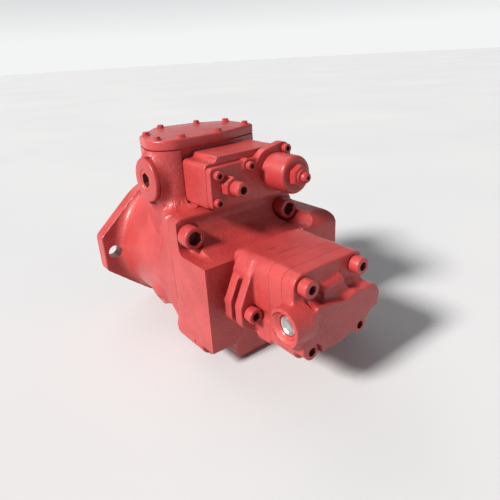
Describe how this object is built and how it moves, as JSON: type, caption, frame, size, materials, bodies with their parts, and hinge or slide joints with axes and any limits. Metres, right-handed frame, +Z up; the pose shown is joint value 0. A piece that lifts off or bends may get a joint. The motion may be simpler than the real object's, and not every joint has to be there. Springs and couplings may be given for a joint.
{
  "type": "axial piston pump",
  "caption": "Swash-plate axial piston pump with servo tower, regulator, spring cap and a pilot gear pump flanged behind its port block, all under one coat of red paint.",
  "frame": {"origin": "bottom centre of the whole pump's bounding box, on the plane that it stands on", "axes": "+Y along the drive shaft and out of its splined end, +Z up through the servo tower, +X towards the delivery port's side"},
  "size_m": [0.215, 0.3886, 0.238],
  "materials": {
    "red_paint": "satin enamel over cast iron",
    "steel": "ground and turned",
    "bronze": "machined",
    "rubber": "matt"
  },
  "bodies": {
    "casing": {"front_housing": "red_paint", "port_block": "red_paint", "top_cover": "red_paint", "regulator_body": "red_paint", "regulator_front_plate": "red_paint", "spring_cap": "red_paint", "gp_front_section": "red_paint", "gp_body": "red_paint", "gp_rear_cover": "red_paint", "main_bolt_upper_left": "red_paint", "main_bolt_upper_right": "red_paint", "main_bolt_lower_left": "red_paint", "main_bolt_lower_right": "red_paint", "gp_mount_bolt_left": "red_paint", "gp_mount_bolt_right": "red_paint", "gp_cover_bolt_upper_left": "red_paint", "gp_cover_bolt_upper_right": "red_paint", "gp_cover_bolt_lower_left": "red_paint", "gp_cover_bolt_lower_right": "red_paint", "servo_plug": "red_paint", "drain_plug": "red_paint", "power_lock_nut": "red_paint", "flow_lock_nut": "red_paint", "gp_port_plug": "steel", "lower_pivot_pin": "steel", "front_bearing_outer": "steel", "rear_bearing": "steel", "valve_plate": "bronze", "gp_bushing_front": "bronze", "gp_bushing_rear": "bronze", "shaft_seal": "rubber"},
    "rotor": {"drive_shaft": "steel", "cylinder_block": "steel", "ball_guide": "steel", "block_spring": "steel", "coupling_sleeve": "steel", "gp_drive_gear": "steel", "front_bearing_inner": "steel"},
    "swash": {"swash_plate": "steel", "control_lever": "steel"},
    "retainer": {"retainer_plate": "steel"},
    "driven_gear": {"gp_driven_gear": "steel"},
    "servo": {"servo_piston": "steel"},
    "spool": {"control_spool": "steel"},
    "power_screw": {"power_adjusting_screw": "red_paint"},
    "flow_screw": {"flow_adjusting_screw": "red_paint"},
    "shoe_1": {"slipper_1": "bronze"},
    "plunger_1": {"piston_1": "steel"},
    "shoe_2": {"slipper_2": "bronze"},
    "plunger_2": {"piston_2": "steel"},
    "shoe_3": {"slipper_3": "bronze"},
    "plunger_3": {"piston_3": "steel"},
    "shoe_4": {"slipper_4": "bronze"},
    "plunger_4": {"piston_4": "steel"},
    "shoe_5": {"slipper_5": "bronze"},
    "plunger_5": {"piston_5": "steel"},
    "shoe_6": {"slipper_6": "bronze"},
    "plunger_6": {"piston_6": "steel"},
    "shoe_7": {"slipper_7": "bronze"},
    "plunger_7": {"piston_7": "steel"}
  },
  "joints": [
    {"name": "shaft_spin", "type": "hinge", "parent": "casing", "child": "rotor", "pos_m": [-0.0025, 0.13825, 0.085], "axis": [0, 1, 0], "continuous": true},
    {"name": "swash_tilt", "type": "hinge", "parent": "casing", "child": "swash", "pos_m": [-0.0025, 0.06225, 0.085], "axis": [0, 0, 1], "range_deg": [0, 14]},
    {"name": "retainer_spin", "type": "hinge", "parent": "swash", "child": "retainer", "pos_m": [-0.0025, 0.06225, 0.085], "axis": [0, 1, 0], "continuous": true},
    {"name": "driven_gear_spin", "type": "hinge", "parent": "casing", "child": "driven_gear", "pos_m": [-0.0025, -0.15175, 0.109], "axis": [0, 1, 0], "continuous": true},
    {"name": "servo_slide", "type": "slide", "parent": "casing", "child": "servo", "axis": [1, 0, 0], "range_m": [0, 0.0054]},
    {"name": "spool_slide", "type": "slide", "parent": "casing", "child": "spool", "axis": [0, 1, 0], "range_m": [-0.002, 0.002], "stiffness_N_per_m": 2000},
    {"name": "power_screw_turn", "type": "hinge", "parent": "casing", "child": "power_screw", "pos_m": [0.04, -0.09175, 0.1975], "axis": [0, 1, 0], "range_deg": [-360, 360]},
    {"name": "flow_screw_turn", "type": "hinge", "parent": "casing", "child": "flow_screw", "pos_m": [-0.0225, -0.06175, 0.193], "axis": [0, 1, 0], "range_deg": [-360, 360]},
    {"name": "slipper_1_spin", "type": "hinge", "parent": "retainer", "child": "shoe_1", "pos_m": [0.03357, 0.06225, 0.09323], "axis": [0, 1, 0], "continuous": true},
    {"name": "piston_1_tilt", "type": "hinge", "parent": "shoe_1", "child": "plunger_1", "pos_m": [0.03357, 0.06225, 0.09323], "axis": [0, 0, 1], "range_deg": [-14.5, 0]},
    {"name": "slipper_2_spin", "type": "hinge", "parent": "retainer", "child": "shoe_2", "pos_m": [0.01355, 0.06225, 0.11834], "axis": [0, 1, 0], "continuous": true},
    {"name": "piston_2_tilt", "type": "hinge", "parent": "shoe_2", "child": "plunger_2", "pos_m": [0.01355, 0.06225, 0.11834], "axis": [0, 0, 1], "range_deg": [-14.5, 0]},
    {"name": "slipper_3_spin", "type": "hinge", "parent": "retainer", "child": "shoe_3", "pos_m": [-0.01855, 0.06225, 0.11834], "axis": [0, 1, 0], "continuous": true},
    {"name": "piston_3_tilt", "type": "hinge", "parent": "shoe_3", "child": "plunger_3", "pos_m": [-0.01855, 0.06225, 0.11834], "axis": [0, 0, 1], "range_deg": [-14.5, 0]},
    {"name": "slipper_4_spin", "type": "hinge", "parent": "retainer", "child": "shoe_4", "pos_m": [-0.03857, 0.06225, 0.09323], "axis": [0, 1, 0], "continuous": true},
    {"name": "piston_4_tilt", "type": "hinge", "parent": "shoe_4", "child": "plunger_4", "pos_m": [-0.03857, 0.06225, 0.09323], "axis": [0, 0, 1], "range_deg": [-14.5, 0]},
    {"name": "slipper_5_spin", "type": "hinge", "parent": "retainer", "child": "shoe_5", "pos_m": [-0.03143, 0.06225, 0.06193], "axis": [0, 1, 0], "continuous": true},
    {"name": "piston_5_tilt", "type": "hinge", "parent": "shoe_5", "child": "plunger_5", "pos_m": [-0.03143, 0.06225, 0.06193], "axis": [0, 0, 1], "range_deg": [-14.5, 0]},
    {"name": "slipper_6_spin", "type": "hinge", "parent": "retainer", "child": "shoe_6", "pos_m": [-0.0025, 0.06225, 0.048], "axis": [0, 1, 0], "continuous": true},
    {"name": "piston_6_tilt", "type": "hinge", "parent": "shoe_6", "child": "plunger_6", "pos_m": [-0.0025, 0.06225, 0.048], "axis": [0, 0, 1], "range_deg": [-14.5, 0]},
    {"name": "slipper_7_spin", "type": "hinge", "parent": "retainer", "child": "shoe_7", "pos_m": [0.02643, 0.06225, 0.06193], "axis": [0, 1, 0], "continuous": true},
    {"name": "piston_7_tilt", "type": "hinge", "parent": "shoe_7", "child": "plunger_7", "pos_m": [0.02643, 0.06225, 0.06193], "axis": [0, 0, 1], "range_deg": [-14.5, 0]}
  ],
  "couplings": [
    {"joint": "retainer_spin", "follows": "shaft_spin", "ratio": 1},
    {"joint": "driven_gear_spin", "follows": "shaft_spin", "ratio": -1},
    {"joint": "servo_slide", "follows": "swash_tilt", "m_per_rad": 0.021},
    {"joint": "slipper_1_spin", "follows": "shaft_spin", "ratio": -1},
    {"joint": "piston_1_tilt", "follows": "swash_tilt", "ratio": -1},
    {"joint": "slipper_2_spin", "follows": "shaft_spin", "ratio": -1},
    {"joint": "piston_2_tilt", "follows": "swash_tilt", "ratio": -1},
    {"joint": "slipper_3_spin", "follows": "shaft_spin", "ratio": -1},
    {"joint": "piston_3_tilt", "follows": "swash_tilt", "ratio": -1},
    {"joint": "slipper_4_spin", "follows": "shaft_spin", "ratio": -1},
    {"joint": "piston_4_tilt", "follows": "swash_tilt", "ratio": -1},
    {"joint": "slipper_5_spin", "follows": "shaft_spin", "ratio": -1},
    {"joint": "piston_5_tilt", "follows": "swash_tilt", "ratio": -1},
    {"joint": "slipper_6_spin", "follows": "shaft_spin", "ratio": -1},
    {"joint": "piston_6_tilt", "follows": "swash_tilt", "ratio": -1},
    {"joint": "slipper_7_spin", "follows": "shaft_spin", "ratio": -1},
    {"joint": "piston_7_tilt", "follows": "swash_tilt", "ratio": -1}
  ]
}
